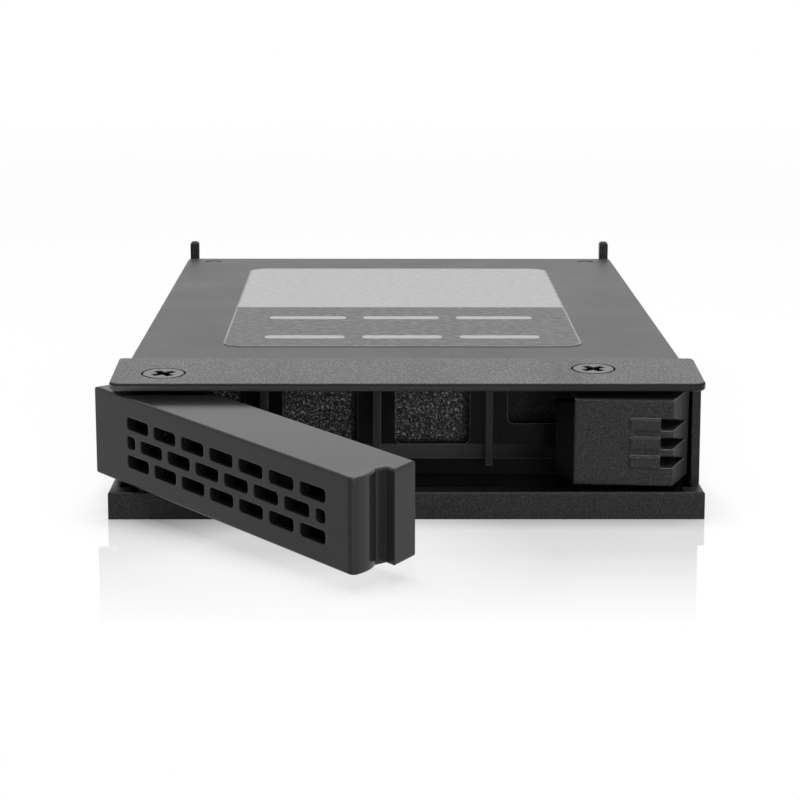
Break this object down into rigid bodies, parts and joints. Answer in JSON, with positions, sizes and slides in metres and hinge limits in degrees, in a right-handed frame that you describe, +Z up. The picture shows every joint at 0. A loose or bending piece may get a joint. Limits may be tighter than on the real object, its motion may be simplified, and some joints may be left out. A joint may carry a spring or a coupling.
{
  "type": "drive adapter frame",
  "caption": "Hot-swap tray carrying a small-form drive, with a vented swing-out lever that pivots on a cap plate screw and a ridged release latch beside it.",
  "frame": {"origin": "middle of the flat underside of the tray", "axes": "+X to the right seen from the lever side, +Y towards the rear plug, +Z up"},
  "size_m": [0.0748, 0.1528, 0.0202],
  "materials": {
    "tray_plastic": "satin",
    "wall_plastic": "satin",
    "cap_coat": "powder coat",
    "screw_black": "black zinc",
    "lever_plastic": "satin",
    "spring_steel": "bright",
    "latch_plastic": "satin",
    "drive_casting": "dark satin",
    "drive_cover": "dark satin",
    "label_film": "satin",
    "board": "satin",
    "chip_black": "matte",
    "plug_black": "satin",
    "contact_gold": "bright"
  },
  "bodies": {
    "tray": {"tray": "tray_plastic", "window_wall": "wall_plastic", "cap_plate": "cap_coat", "pivot_screws": "screw_black", "latch_spring": "spring_steel", "drive_case": "drive_casting", "drive_lid": "drive_cover", "lid_screws": "screw_black", "drive_label": "label_film", "drive_board": "board", "memory_chips": "chip_black", "controller_chip": "chip_black", "drive_connector": "plug_black", "drive_contacts": "contact_gold", "drive_screws": "screw_black"},
    "lever": {"lever_handle": "lever_plastic", "lever_back_cover": "lever_plastic", "lever_spring": "spring_steel"},
    "latch": {"latch": "latch_plastic"}
  },
  "joints": [
    {"name": "lever_hinge", "type": "hinge", "parent": "tray", "child": "lever", "pos_m": [-0.02994, -0.05266, 0.0162], "axis": [0, 0.0628, -0.998], "range_deg": [-52.3, 37.7], "stiffness_Nm_per_rad": 0.01},
    {"name": "latch_pivot", "type": "hinge", "parent": "tray", "child": "latch", "pos_m": [0.02326, -0.05007, 0.01636], "axis": [0, -0.0628, 0.998], "range_deg": [-8, 7], "stiffness_Nm_per_rad": 0.02, "deforming": ["latch_spring"]}
  ]
}
